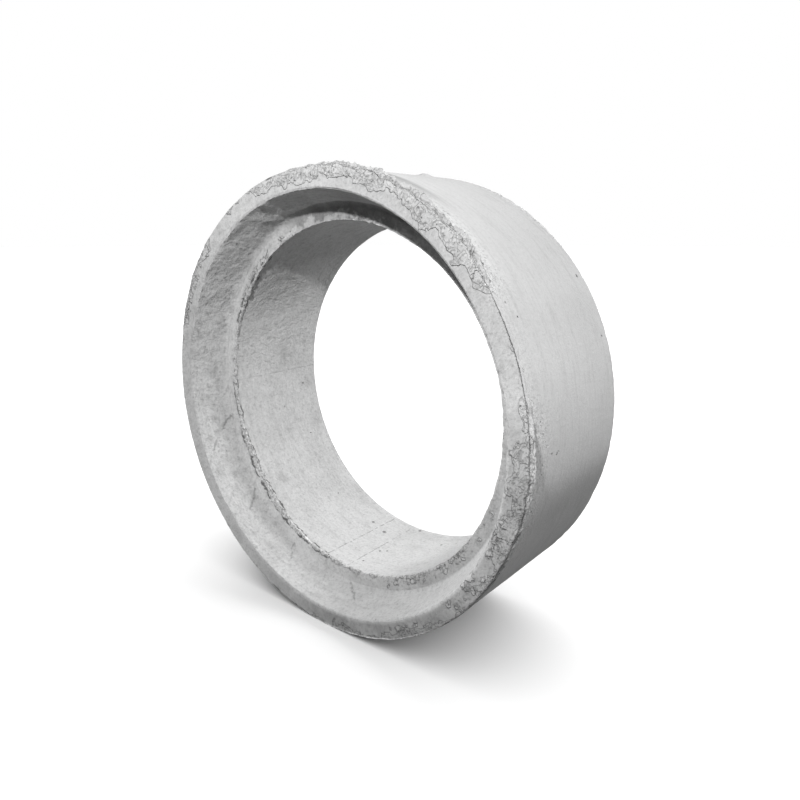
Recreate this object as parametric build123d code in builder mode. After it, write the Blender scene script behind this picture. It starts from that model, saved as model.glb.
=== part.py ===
"""Concrete riser ring: one cast ring with a socket joint at one end and a plain end at the other.

The ring stands on its rim, as it is stored on site. Its axis runs along Y, the socket end faces -Y,
and the origin is on the floor below the middle of the ring. All lengths are in millimetres.
"""

from build123d import *
import os

# Overall sizes
bore_diameter = 800.0
ring_height = 375.0

# Wall, from the bore outwards: seat, drafted socket wall, lip
seat_width = 35.0
socket_draft = 25.0
lip_thickness = 40.0
socket_depth = 90.0

# Rounded edges of the section
socket_root_radius = 12.0
socket_mouth_radius = 5.0
back_rim_radius = 8.0

# Bevelled edges of the section
seat_nose_bevel = 4.0
lip_rim_bevel = 3.0
back_bore_bevel = 6.0

# Radii and stations worked out from the sizes above
bore_radius = bore_diameter / 2
seat_radius = bore_radius + seat_width
mouth_radius = seat_radius + socket_draft
outer_radius = mouth_radius + lip_thickness
socket_end = -ring_height / 2
seat_station = socket_end + socket_depth
plain_end = ring_height / 2

# Corners of the section as (distance from the axis, station along the axis)
seat_nose = (bore_radius, seat_station)
socket_root = (seat_radius, seat_station)
socket_mouth = (mouth_radius, socket_end)
lip_rim = (outer_radius, socket_end)
back_rim = (outer_radius, plain_end)
back_bore = (bore_radius, plain_end)

rounded_corners = {
    socket_root: socket_root_radius,
    socket_mouth: socket_mouth_radius,
    back_rim: back_rim_radius,
}
bevelled_corners = {
    seat_nose: seat_nose_bevel,
    lip_rim: lip_rim_bevel,
    back_bore: back_bore_bevel,
}

# The plane of the section holds the ring's axis, one outer radius above the floor
axis_height = outer_radius
section_plane = Plane(origin=(0, 0, axis_height), x_dir=(1, 0, 0), z_dir=(0, 0, 1))
ring_axis = Axis((0, 0, axis_height), (0, 1, 0))

# Riser ring: the section is drawn once, its corners are finished, and it is turned about the axis
with BuildPart() as riser_ring:
    with BuildSketch(section_plane) as section:
        with BuildLine():
            Polyline(seat_nose, socket_root, socket_mouth, lip_rim, back_rim, back_bore, close=True)
        make_face()
        for corner, radius in rounded_corners.items():
            fillet(section.vertices().sort_by_distance(corner)[0], radius=radius)
        for corner, bevel in bevelled_corners.items():
            chamfer(section.vertices().sort_by_distance(corner)[0], length=bevel)
    revolve(axis=ring_axis)

riser_ring.part.label = "riser_ring"

os.makedirs("parts", exist_ok=True)
export_step(riser_ring.part, "parts/riser_ring.step")
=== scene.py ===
"""Looks of the concrete riser ring: one cast ring with a socket joint, standing on its rim.

The ring's axis runs along Y, its socket end faces -Y, and it stands on the floor below the origin.
All lengths are in metres. Angles round the ring are in degrees, from +X through +Z, and a depth is
measured along the axis from the socket's end face.
"""
from __future__ import annotations

import logging
import math
from dataclasses import dataclass, field
from enum import Enum
from typing import Callable, Mapping, Sequence

import bpy
import numpy as np
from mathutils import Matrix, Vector, noise

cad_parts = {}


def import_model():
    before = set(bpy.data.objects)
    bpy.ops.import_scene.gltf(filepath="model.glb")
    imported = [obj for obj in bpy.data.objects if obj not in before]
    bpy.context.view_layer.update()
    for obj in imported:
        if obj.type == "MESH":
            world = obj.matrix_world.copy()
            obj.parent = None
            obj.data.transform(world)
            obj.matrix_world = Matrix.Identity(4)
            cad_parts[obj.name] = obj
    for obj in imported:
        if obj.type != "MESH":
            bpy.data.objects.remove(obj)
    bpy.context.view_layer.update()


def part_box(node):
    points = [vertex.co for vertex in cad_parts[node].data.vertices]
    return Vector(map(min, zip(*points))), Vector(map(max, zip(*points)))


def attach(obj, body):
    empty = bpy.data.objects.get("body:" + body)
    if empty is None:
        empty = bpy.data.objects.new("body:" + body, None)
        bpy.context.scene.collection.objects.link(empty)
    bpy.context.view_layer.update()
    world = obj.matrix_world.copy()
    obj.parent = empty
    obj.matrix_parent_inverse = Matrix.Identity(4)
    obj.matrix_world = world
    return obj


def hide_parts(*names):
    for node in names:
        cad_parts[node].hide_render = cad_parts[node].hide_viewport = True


logging.basicConfig(level=logging.INFO, format="%(levelname)s %(message)s")
log = logging.getLogger("riser_ring")

MM = 0.001
# Places nearer than this are the same place.
NEAR = 0.2 * MM
# Runs of the section that are shorter than this stay whole.
SHORTEST_RUN = 8 * MM
# Places on the end face and its rounded edges are less deep than this.
FACE_DEPTH = 4 * MM
# Faces that meet at less than this many degrees are shaded as one.
SMOOTH_BELOW = 60
# How far from the mortar's edge, and from a line of painted shade in the creases, the marks still tell
# the distance.
BAND_REACH = 0.020
CREASE_REACH = 0.020
# How much farther off a line of painted shade seems where none of it is left.
FADED_GAP = 0.006


class Zone(Enum):
    """The faces of the ring's section."""

    END_FACE = "end_face"
    SOCKET_WALL = "socket_wall"
    SEAT = "seat"
    BORE = "bore"
    BACK_FACE = "back_face"
    OUTER_WALL = "outer_wall"


class Mark(Enum):
    """What the relief leaves on each vertex for the finish to read."""

    BAND = "band"
    CREASE = "crease"
    FLASH = "flash"
    SHADOW_AND_DARKENING = "grime"
    RIPPLE = "ripple"
    COARSE = "coarse"
    PAINTED_LIGHT_AND_TONE = "tone"
    BUBBLE = "bubble"


@dataclass(frozen=True)
class RingSizes:
    """The ring's sizes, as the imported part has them.

    Args:
        outer_radius: radius of the outer wall.
        half_height: half of the ring's length along its axis.
        bore_radius: radius of the bore.
        seat_radius: radius where the seat meets the socket's wall.
        mouth_radius: radius of the socket's mouth.
        socket_depth: depth of the socket.
        root_radius: rounding where the seat meets the socket's wall.
        mouth_rounding: rounding of the socket's mouth.
        back_rounding: rounding of the plain end's outer rim.
        nose_bevel: bevel where the seat meets the bore.
        rim_bevel: bevel of the socket end's outer rim.
        back_bore_bevel: bevel where the bore meets the plain end.
    """

    outer_radius: float
    half_height: float
    bore_radius: float = 0.400
    seat_radius: float = 0.435
    mouth_radius: float = 0.460
    socket_depth: float = 0.090
    root_radius: float = 0.012
    mouth_rounding: float = 0.005
    back_rounding: float = 0.008
    nose_bevel: float = 0.004
    rim_bevel: float = 0.003
    back_bore_bevel: float = 0.006

    @property
    def axis_height(self) -> float:
        """Height of the ring's axis above the floor."""
        return self.outer_radius

    @property
    def socket_end(self) -> float:
        """Station of the socket's end face along Y."""
        return -self.half_height

    @property
    def plain_end(self) -> float:
        """Station of the plain end along Y."""
        return self.half_height

    @property
    def seat_station(self) -> float:
        """Station of the seat along Y."""
        return -self.half_height + self.socket_depth

    @classmethod
    def from_frame(cls, node: str) -> "RingSizes":
        """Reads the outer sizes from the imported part's box.

        Args:
            node: name of the ring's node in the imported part.

        Returns:
            The sizes of the ring.
        """
        low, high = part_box(node)
        return cls(outer_radius=round(high.z - low.z, 2) / 2, half_height=(high.y - low.y) / 2)

    def point(self, angle: float, depth: float, radius: float | None = None) -> Vector:
        """A place on the ring's socket wall or bore, or at a given radius.

        Args:
            angle: angle round the ring.
            depth: distance from the socket's end face along the axis.
            radius: distance from the axis, or None for the inner surface at that depth.

        Returns:
            The place in the ring's frame.
        """
        if radius is None:
            draft = (self.mouth_radius - self.seat_radius) / self.socket_depth
            inside = depth > self.socket_depth
            radius = self.bore_radius if inside else self.mouth_radius - draft * depth
        turn = math.radians(angle)
        return Vector(
            (radius * math.cos(turn), self.socket_end + depth, self.axis_height + radius * math.sin(turn))
        )


@dataclass(frozen=True)
class AngleCurve:
    """A value that changes round the ring, joined smoothly between given points.

    Args:
        points: pairs of angle in degrees and value, in rising order of angle, within one turn.
    """

    points: tuple[tuple[float, float], ...]

    def at(self, angles: np.ndarray) -> np.ndarray:
        """Reads the curve at angles in degrees, from -180 to 180."""
        stations = np.array([p[0] for p in self.points], float)
        values = np.array([p[1] for p in self.points], float)
        stations = np.concatenate([stations - 360, stations, stations + 360])
        values = np.concatenate([values] * 3)
        place = np.clip(np.searchsorted(stations, angles, side="right") - 1, 0, len(stations) - 2)
        share = (angles - stations[place]) / (stations[place + 1] - stations[place])
        share = share * share * (3 - 2 * share)
        return values[place] + (values[place + 1] - values[place]) * share


def ramp(low: float, high: float, values: np.ndarray) -> np.ndarray:
    """Rises smoothly from 0 at low to 1 at high, or falls if high is below low."""
    share = np.clip((values - low) / (high - low), 0, 1)
    return share * share * (3 - 2 * share)


def lobe(values: np.ndarray, middle: float, reach: float, power: int = 4) -> np.ndarray:
    """A share that is 1 where the values are at the middle and falls off at a reach on both sides."""
    return np.exp(-(((values - middle) / reach) ** power))


def rough(points: np.ndarray, size: float, seed: float, octaves: int = 3) -> np.ndarray:
    """Rough noise of a given grain size, the same on every run.

    Args:
        points: places as rows of three numbers.
        size: size of the largest lumps.
        seed: an offset that picks one pattern among many.
        octaves: how many finer layers are added.

    Returns:
        Noise from about -1 to 1 at each place.
    """
    shift = Vector((seed * 17.3, seed * -9.1, seed * 5.7))
    scale = 1 / size
    return np.array([noise.fractal(Vector(p) * scale + shift, 1.0, 2.0, octaves) for p in points])


def deselect_all() -> None:
    """Leaves nothing selected, so that an operator acts only on what is picked next."""
    if bpy.context.object is not None and bpy.context.object.mode != "OBJECT":
        bpy.ops.object.mode_set(mode="OBJECT")
    bpy.ops.object.select_all(action="DESELECT")


def pick_object(piece: bpy.types.Object) -> None:
    """Selects one object alone and makes it the active one."""
    deselect_all()
    piece.select_set(True)
    bpy.context.view_layer.objects.active = piece


def pick_vertices(piece: bpy.types.Object, test: Callable[[Vector], bool]) -> int:
    """Selects in edit mode the vertices that pass a test, and nothing else.

    Args:
        piece: the mesh object in edit mode.
        test: says whether a vertex at a place is picked.

    Returns:
        How many vertices are selected.
    """
    bpy.ops.mesh.select_mode(type="VERT")
    bpy.ops.mesh.select_all(action="DESELECT")
    bpy.ops.object.mode_set(mode="OBJECT")
    count = 0
    for vertex in piece.data.vertices:
        vertex.select = test(vertex.co)
        count += vertex.select
    bpy.ops.object.mode_set(mode="EDIT")
    return count


@dataclass(frozen=True)
class RingSection:
    """The ring's section, cut from a plane as it would be drawn by hand.

    Args:
        sizes: the ring's sizes.
        rim_strip: length of outer wall behind the rim that is divided finely.
        nose_strip: length of bore behind the seat that is divided finely.
        back_strip: length of outer wall at the plain end that is divided finely.
    """

    sizes: RingSizes
    rim_strip: float = 0.028
    nose_strip: float = 0.018
    back_strip: float = 0.040

    def build(self) -> bpy.types.Object:
        """Cuts the section, rounds its corners and divides its runs.

        Returns:
            The section's outline, in the plane of X and Y, with the ring's axis along Y.
        """
        s = self.sizes
        deselect_all()
        bpy.ops.mesh.primitive_plane_add(size=1, location=((s.outer_radius + s.bore_radius) / 2, 0, 0))
        piece = bpy.context.object
        piece.name = piece.data.name = "riser_ring_cast"
        piece.scale = (s.outer_radius - s.bore_radius, 2 * s.half_height, 1)
        bpy.ops.object.transform_apply(location=True, rotation=True, scale=True)
        bpy.ops.object.mode_set(mode="EDIT")
        self.cut_socket(piece)
        self.round_corners(piece)
        for station in (
            s.socket_end + self.rim_strip,
            s.seat_station + self.nose_strip,
            s.plain_end - self.back_strip,
        ):
            bpy.ops.mesh.select_all(action="SELECT")
            bpy.ops.mesh.bisect(plane_co=(0, station, 0), plane_no=(0, 1, 0))
        self.keep_outline()
        self.divide_runs(piece)
        return piece

    def cut_socket(self, piece: bpy.types.Object) -> None:
        """Cuts the socket out of the section and gives its wall the draft."""
        s = self.sizes
        in_socket = s.seat_station + MM
        bpy.ops.mesh.select_all(action="SELECT")
        bpy.ops.mesh.bisect(plane_co=(0, s.seat_station, 0), plane_no=(0, 1, 0))
        pick_vertices(piece, lambda v: v.y < in_socket)
        bpy.ops.mesh.bisect(plane_co=(s.seat_radius, 0, 0), plane_no=(1, 0, 0))
        pick_vertices(piece, lambda v: v.y < in_socket and v.x < s.seat_radius + MM)
        bpy.ops.mesh.select_mode(type="FACE")
        bpy.ops.mesh.delete(type="FACE")
        pick_vertices(piece, self.at_corner(s.seat_radius, s.socket_end))
        bpy.ops.transform.translate(value=(s.mouth_radius - s.seat_radius, 0, 0))

    def at_corner(self, radius: float, station: float) -> Callable[[Vector], bool]:
        """A test for the section's vertex at a radius and a station."""
        return lambda v: abs(v.x - radius) < MM and abs(v.y - station) < MM

    def round_corners(self, piece: bpy.types.Object) -> None:
        """Rounds and bevels the six corners of the section."""
        s = self.sizes
        sloping = math.atan2(s.mouth_radius - s.seat_radius, s.socket_depth)
        sloping_reach = math.tan(math.pi / 4 - sloping / 2)
        for radius, station, rounding, reach, segments in (
            (s.seat_radius, s.seat_station, s.root_radius, sloping_reach, 4),
            (s.mouth_radius, s.socket_end, s.mouth_rounding, sloping_reach, 3),
            (s.outer_radius, s.plain_end, s.back_rounding, 1.0, 3),
            (s.bore_radius, s.seat_station, s.nose_bevel, 1.0, 2),
            (s.outer_radius, s.socket_end, s.rim_bevel, 1.0, 2),
            (s.bore_radius, s.plain_end, s.back_bore_bevel, 1.0, 2),
        ):
            pick_vertices(piece, self.at_corner(radius, station))
            bpy.ops.mesh.bevel(offset=rounding * reach, segments=segments, affect="VERTICES")

    def keep_outline(self) -> None:
        """Deletes the section's faces and the edges between them, so that its outline is left."""
        bpy.ops.mesh.select_mode(type="EDGE")
        bpy.ops.mesh.select_all(action="DESELECT")
        bpy.ops.mesh.select_non_manifold(
            extend=False, use_wire=False, use_boundary=True, use_multi_face=False,
            use_non_contiguous=False, use_verts=False,
        )
        bpy.ops.mesh.select_all(action="INVERT")
        bpy.ops.mesh.delete(type="EDGE")
        bpy.ops.mesh.select_all(action="SELECT")
        bpy.ops.mesh.delete(type="ONLY_FACE")
        bpy.ops.object.mode_set(mode="OBJECT")

    def divide_runs(self, piece: bpy.types.Object) -> None:
        """Divides the outline's runs, finely where the cast edges are ragged."""
        s = self.sizes
        behind_rim = s.socket_end + self.rim_strip + NEAR
        behind_nose = s.seat_station + self.nose_strip + NEAR
        before_back = s.plain_end - self.back_strip - NEAR
        outer = s.outer_radius - NEAR
        bore = s.bore_radius + NEAR
        for test, pieces in (
            (lambda a, b: min(a.x, b.x) > outer and max(a.y, b.y) < behind_rim, 11),
            (lambda a, b: min(a.x, b.x) > outer and min(a.y, b.y) > before_back, 7),
            (lambda a, b: min(a.x, b.x) > outer and abs(a.y - b.y) > 2 * self.back_strip, 17),
            (lambda a, b: max(a.y, b.y) < s.socket_end + NEAR, 17),
            (lambda a, b: max(a.x, b.x) < bore and max(a.y, b.y) < behind_nose, 7),
            (lambda a, b: max(a.x, b.x) < bore and min(a.y, b.y) < before_back, 15),
            (lambda a, b: max(a.x, b.x) < bore and min(a.y, b.y) > before_back - MM, 3),
            (lambda a, b: min(a.y, b.y) > s.plain_end - NEAR, 8),
            (lambda a, b: abs(a.y - s.seat_station) + abs(b.y - s.seat_station) < NEAR, 10),
            (lambda a, b: max(a.x, b.x) < outer and max(a.y, b.y) < behind_rim, 5),
            (lambda a, b: max(a.x, b.x) < outer and min(a.x, b.x) > bore and
             max(a.y, b.y) < s.seat_station and min(a.y, b.y) > behind_rim - MM, 10),
        ):
            self.divide_run(piece, test, pieces)

    def divide_run(
        self, piece: bpy.types.Object, test: Callable[[Vector, Vector], bool], pieces: int
    ) -> None:
        """Divides one straight run of the outline evenly.

        Args:
            piece: the outline.
            test: says whether an edge between two places is the run.
            pieces: how many pieces it is divided into.
        """
        mesh = piece.data
        bpy.ops.object.mode_set(mode="EDIT")
        bpy.ops.mesh.select_mode(type="EDGE")
        bpy.ops.mesh.select_all(action="DESELECT")
        bpy.ops.object.mode_set(mode="OBJECT")
        longest = 0.0
        run = None
        for edge in mesh.edges:
            a, b = (mesh.vertices[i].co for i in edge.vertices)
            if (a - b).length > max(longest, SHORTEST_RUN) and test(a, b):
                run, longest = edge, (a - b).length
        if run is not None:
            run.select = True
            bpy.ops.object.mode_set(mode="EDIT")
            bpy.ops.mesh.subdivide(number_cuts=pieces - 1)
            bpy.ops.object.mode_set(mode="OBJECT")
        log.info("section run of %.0f mm in %d pieces", longest / MM, pieces)


@dataclass
class CastRing:
    """The ring: its section spun round the axis, then roughened as a casting comes from its mould.

    Args:
        sizes: the ring's sizes.
        steps: how many steps the spin makes in one turn.
        lip_flash: how far the ragged flash stands out from the socket end's outer rim.
        nose_flash: how far the ragged flash stands into the bore at the seat.
        mortar_edge: radius outside which stiff mortar flakes lie on the end face.
        nose_crease_shade: how much of the painted shade along the seat's nose is there, as a dark line in
            its crevice and as the flash's shadow on the bore.
        painted_light_and_tone_by_zone: light and shade painted on each face round the ring, paler where
            it is lit and darker where it lies in shade.
        darkening: how much darker the end face is round the ring, most towards the bottom.
        lip_depth: how far behind the rim the lip's flash can reach.
        lip_width: how far inside the rim the lip's flash can reach.
        shelf_depth: depth of the line between the two layers of the lip's flash.
        foot_depth: depth of the foot of the lip's flash.
        nose_reach: how far from the seat's nose its flash can reach.
        nose_foot: how far behind the seat the foot of the nose's flash lies.
        unevenness: how far the walls swell and sink slowly.
        lump_height: height of the lumps on the socket's wall.
        mouth_chips: depth of the chips in the socket's mouth.
        notch_angle: where the rim has a notch, whose shade is painted as a dark spot.
        chipped_angle: where the plain end's rim is chipped most.
        burr: angle, depth and height of the one burr on top.
        grain_size: size of the grain's largest lumps.
        grain_height: height of the grain.
        piece: the ring's object.
        places: each vertex's place before the relief.
        radii: each vertex's distance from the axis.
        depths: each vertex's depth.
        angles: each vertex's angle round the ring.
        left: how far to the coarse left side each vertex is, from 0 to 1.
        on: which vertices are on each face of the section.
        outward: how far the relief moves each vertex away from the axis.
        inward: how far the relief moves each vertex along the axis, into the wall.
        marks: what the relief leaves for the finish.
        nose_band: the mortar's reach at the seat's nose, as the distance inside its edge.
    """

    sizes: RingSizes
    steps: int = 780
    lip_flash: AngleCurve = AngleCurve(
        (
            (-168, 0.001), (-100, 0.0005), (-90, 0.001), (-84, 0.002), (-58, 0.002), (-50, 0.001),
            (-36, 0.001), (-28, 0.003), (-20, 0.005), (-13, 0.007), (-8, 0.010), (-3, 0.010),
            (2, 0.009), (6, 0.006), (10, 0.003), (14, 0.0015), (30, 0.001), (35, 0.003),
            (38, 0.008), (42, 0.013), (46, 0.017), (50, 0.013), (56, 0.014), (63, 0.014),
            (70, 0.014), (78, 0.012), (86, 0.008), (94, 0.004), (104, 0.001), (120, 0.001),
            (133, 0.0005), (137, 0.004), (141, 0.006), (145, 0.008), (150, 0.003), (155, 0.0),
            (158, 0.004), (162, 0.004), (166, 0.0), (174, 0.0), (183, 0.001), (185, 0.007),
            (187, 0.002),
        )
    )
    nose_flash: AngleCurve = AngleCurve(
        (
            (-170, 0.004), (-160, 0.008), (-152, 0.013), (-140, 0.012), (-130, 0.010),
            (-120, 0.006), (-108, 0.004), (-98, 0.005), (-85, 0.003), (-60, 0.003), (-40, 0.002),
            (-25, 0.002), (0, 0.003), (20, 0.001), (60, 0.001), (90, 0.001), (110, 0.002),
            (128, 0.002), (145, 0.005), (155, 0.002), (170, 0.002), (180, 0.004),
        )
    )
    mortar_edge: AngleCurve = AngleCurve(
        (
            (-175, 0.505), (-110, 0.505), (-80, 0.492), (-70, 0.484), (-57, 0.478), (-50, 0.495),
            (-40, 0.497), (-28, 0.485), (-18, 0.468), (-8, 0.466), (0, 0.474), (8, 0.492),
            (14, 0.504), (32, 0.504), (38, 0.492), (44, 0.478), (52, 0.476), (60, 0.480),
            (68, 0.482), (76, 0.486), (84, 0.481), (92, 0.478), (100, 0.480), (108, 0.474),
            (112, 0.492), (118, 0.503), (131, 0.503), (137, 0.480), (143, 0.488), (152, 0.480),
            (160, 0.488), (166, 0.502),
        )
    )
    # Painted shade along the seat's nose: a dark line in its crevice, and the shadow its flash casts on
    # the bore.
    nose_crease_shade: AngleCurve = AngleCurve(
        (
            (-176, 0.9), (-163, 1.0), (-100, 1.0), (-92, 0.7), (-30, 0.6), (-18, 0.2), (60, 0.1),
            (88, 0.6), (104, 0.2), (118, 0.6), (130, 0.95), (150, 0.92), (172, 0.85),
        )
    )
    # Painted light and shade: the socket's wall and the seat darker at the top where they lie in shade,
    # the outer wall darker at the lower right, the lit faces paler.
    painted_light_and_tone_by_zone: tuple[tuple[Zone, AngleCurve], ...] = (
        (
            Zone.OUTER_WALL,
            AngleCurve(
                (
                    (-42, 0.66), (-18, 0.70), (-4, 1.04), (14, 0.99), (30, 0.87), (46, 0.82),
                    (110, 0.84),
                )
            ),
        ),
        (
            Zone.SOCKET_WALL,
            AngleCurve(
                (
                    (-176, 1.14), (-160, 1.14), (-108, 1.14), (-90, 1.04), (-50, 1.04), (-30, 1.08),
                    (60, 0.60), (80, 0.66), (96, 1.0), (140, 1.0), (150, 1.08), (162, 1.16),
                )
            ),
        ),
        (
            Zone.BORE,
            AngleCurve(
                ((-160, 1.0), (-145, 1.05), (-105, 1.10), (-76, 1.12), (-60, 1.0), (170, 1.0))
            ),
        ),
        (
            Zone.SEAT,
            AngleCurve(
                (
                    (-175, 1.06), (-140, 1.18), (-110, 1.12), (-90, 0.96), (-50, 0.82), (-20, 0.86),
                    (20, 1.0), (60, 0.9), (90, 0.78), (106, 0.88), (118, 1.12), (128, 1.06),
                    (136, 0.97), (165, 1.08),
                )
            ),
        ),
        (
            Zone.END_FACE,
            AngleCurve(
                (
                    (-20, 1.0), (14, 1.10), (32, 0.97), (60, 1.0), (90, 1.05), (134, 1.12),
                    (150, 1.0),
                )
            ),
        ),
    )
    grime: AngleCurve = AngleCurve(
        (
            (-150, 0.08), (-130, 0.22), (-105, 0.58), (-90, 0.98), (-60, 0.95), (-40, 0.75),
            (-28, 0.42), (-10, 0.5), (2, 0.3), (12, 0.0), (60, 0.05), (110, 0.0), (140, 0.15),
            (165, 0.1), (185, 0.1),
        )
    )
    lip_depth: float = 0.034
    lip_width: float = 0.022
    shelf_depth: float = 0.007
    foot_depth: float = 0.020
    nose_reach: float = 0.022
    nose_foot: float = 0.006
    unevenness: float = 0.0012
    lump_height: float = 0.0040
    mouth_chips: float = 0.006
    notch_angle: float = 104.5
    chipped_angle: float = 62.0
    burr: tuple[float, float, float] = (82.8, 0.288, 0.0045)
    grain_size: float = 0.012
    grain_height: float = 0.7 * MM
    piece: bpy.types.Object = field(init=False)
    places: np.ndarray = field(init=False)
    radii: np.ndarray = field(init=False)
    depths: np.ndarray = field(init=False)
    angles: np.ndarray = field(init=False)
    left: np.ndarray = field(init=False)
    on: dict[Zone, np.ndarray] = field(init=False)
    outward: np.ndarray = field(init=False)
    inward: np.ndarray = field(init=False)
    marks: dict[Mark, np.ndarray] = field(init=False)
    nose_band: np.ndarray = field(init=False)

    def build(self) -> bpy.types.Object:
        """Builds the ring.

        Returns:
            The ring's object, at the origin, with its place in its mesh.
        """
        self.piece = RingSection(self.sizes).build()
        self.spin_section()
        self.read_places()
        self.marks = {mark: np.zeros(len(self.radii)) for mark in Mark}
        self.marks[Mark.CREASE] += 1.0
        self.raise_lip_flash()
        self.paint_notch_shade()
        self.raise_nose_flash()
        self.lay_mortar()
        self.darken_faces()
        self.blow_bubbles()
        self.roughen_walls()
        self.coarsen_faces()
        self.chip_back_rim()
        self.leave_burr()
        self.paint_light_on_zones()
        self.put_places()
        self.roll_grain()
        bpy.ops.object.shade_smooth_by_angle(angle=math.radians(SMOOTH_BELOW))
        return self.piece

    def spin_section(self) -> None:
        """Spins the section once round the axis, closes the seam and lifts the ring to the floor."""
        pick_object(self.piece)
        bpy.ops.object.modifier_add(type="SCREW")
        turn = self.piece.modifiers[-1]
        turn.axis = "Y"
        turn.angle = math.tau
        turn.steps = turn.render_steps = self.steps
        turn.use_merge_vertices = True
        turn.merge_threshold = NEAR / 10
        bpy.ops.object.modifier_apply(modifier=turn.name)
        bpy.ops.object.mode_set(mode="EDIT")
        bpy.ops.mesh.select_all(action="SELECT")
        bpy.ops.mesh.remove_doubles(threshold=NEAR / 10)
        bpy.ops.mesh.normals_make_consistent(inside=False)
        bpy.ops.object.mode_set(mode="OBJECT")
        self.piece.location.z = self.sizes.axis_height
        bpy.ops.object.transform_apply(location=True, rotation=True, scale=True)

    def read_places(self) -> None:
        """Reads each vertex's radius, depth and angle, and the face of the section it is on."""
        s = self.sizes
        mesh = self.piece.data
        places = np.zeros(len(mesh.vertices) * 3)
        mesh.vertices.foreach_get("co", places)
        self.places = places.reshape(-1, 3)
        across, up = self.places[:, 0], self.places[:, 2] - s.axis_height
        self.radii = np.hypot(across, up)
        self.depths = self.places[:, 1] - s.socket_end
        self.angles = np.degrees(np.arctan2(up, across))
        self.left = np.clip(np.cos(np.radians(self.angles - 168)), 0.0, 1)
        r, d = self.radii, self.depths
        in_socket = d < s.socket_depth - NEAR
        self.on = {
            Zone.END_FACE: d < NEAR,
            Zone.SOCKET_WALL: in_socket & (d > NEAR) & (r < s.mouth_radius + MM),
            Zone.SEAT: (np.abs(d - s.socket_depth) < NEAR) & (r < s.seat_radius),
            Zone.BORE: (r < s.bore_radius + NEAR) & ~in_socket,
            Zone.BACK_FACE: d > 2 * s.half_height - NEAR,
            Zone.OUTER_WALL: r > s.outer_radius - NEAR,
        }
        self.outward = np.zeros(len(r))
        self.inward = np.zeros(len(r))

    def rough_at(self, size: float, seed: float, where: np.ndarray, octaves: int = 3) -> np.ndarray:
        """Rough noise on some of the vertices, 0 on the others.

        Args:
            size: size of the largest lumps.
            seed: picks the pattern.
            where: which vertices get it.
            octaves: how many finer layers are added.

        Returns:
            Noise from about -1 to 1 at each vertex.
        """
        values = np.zeros(len(self.radii))
        values[where] = rough(self.places[where], size, seed, octaves)
        return values

    def near_line(
        self, where: np.ndarray, distance: np.ndarray, share: np.ndarray | float
    ) -> None:
        """Notes how near each vertex is to a dark line of painted shade, such as falls in creases.

        Args:
            where: which vertices the line may lie near.
            distance: each vertex's distance from it.
            share: how much of the line is there, from 0 to 1.
        """
        gap = np.abs(distance) + (1 - np.clip(share, 0, 1)) * FADED_GAP
        nearest = np.where(where, gap / CREASE_REACH, 1.0)
        self.marks[Mark.CREASE] = np.minimum(self.marks[Mark.CREASE], nearest)

    def mark_more(self, mark: Mark, values: np.ndarray) -> None:
        """Raises a mark where the given values are higher."""
        self.marks[mark] = np.maximum(self.marks[mark], values)

    def raise_lip_flash(self) -> None:
        """Pulls the ragged flash out of the socket end's outer rim, in two layers."""
        rim = self.sizes.outer_radius
        near = (self.depths < self.lip_depth) & (self.radii > rim - self.lip_width)
        side = near & (self.radii > rim - self.sizes.rim_bevel - NEAR)
        face = near & ~side
        full = self.lip_flash.at(self.angles)
        raised = np.clip(full / 0.006, 0, 1)
        ragged = 1 + 0.40 * self.rough_at(0.020, 1, near, 4) + 0.22 * self.rough_at(0.008, 2, near, 2)
        height = full * np.clip(ragged, 0.25, 1.5)
        front = np.clip(0.36 + 0.45 * self.rough_at(0.04, 3, near), 0.15, 0.9)
        shelf = self.shelf_depth + 0.004 * self.rough_at(0.03, 4, near)
        foot = self.foot_depth + 0.008 * self.rough_at(0.022, 5, near)
        crust = self.rough_at(0.009, 6, near, 3)
        step = ramp(0, 1, (self.depths - shelf) / 0.003)
        layers = front * (1 - step) + step
        fall = 1 - ramp(0, 1, (self.depths - shelf - 0.005) / np.maximum(foot - 0.011, 0.004))
        reach = ramp(rim - 0.018, rim, self.radii) ** 1.5
        self.outward += np.where(side, height * layers * fall, 0)
        self.outward += np.where(face, height * front * reach, 0)
        self.outward += np.where(side, raised * fall * 0.0010 * crust, 0)
        self.inward += np.where(near, raised * reach * (0.0018 * (0.6 + crust)), 0)
        # Painted shade as dark lines: at the step between the flash's two layers, at its foot, and just
        # behind the rim.
        right = lobe(self.angles, -2, 17)
        plain = 0.87 * lobe(self.angles, 22, 17)
        self.near_line(side, self.depths - shelf, raised * (0.74 - 0.22 * right))
        self.near_line(side, self.depths - foot, raised * (0.62 + 0.30 * right))
        self.near_line(side, self.depths - 0.004 - 0.002 * crust, plain)
        side_skin = side * fall * ramp(0.0015, 0.0045, height)
        self.mark_more(Mark.FLASH, raised * near * np.maximum(reach, side_skin))

    def paint_notch_shade(self) -> None:
        """Paints the shade of a notch in the rim as a dark spot, a little left of the top."""
        length_per_degree = 0.0026
        along = np.abs(self.angles - self.notch_angle) * length_per_degree
        across = self.radii - self.sizes.outer_radius + 0.0015
        near = (self.depths < self.lip_depth) & (across > -self.lip_width) & (along < 0.004)
        # Painted shade, as a dark spot where the notch is.
        self.near_line(near, 0.7 * np.maximum(along, np.abs(across)), 1.0)

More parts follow.
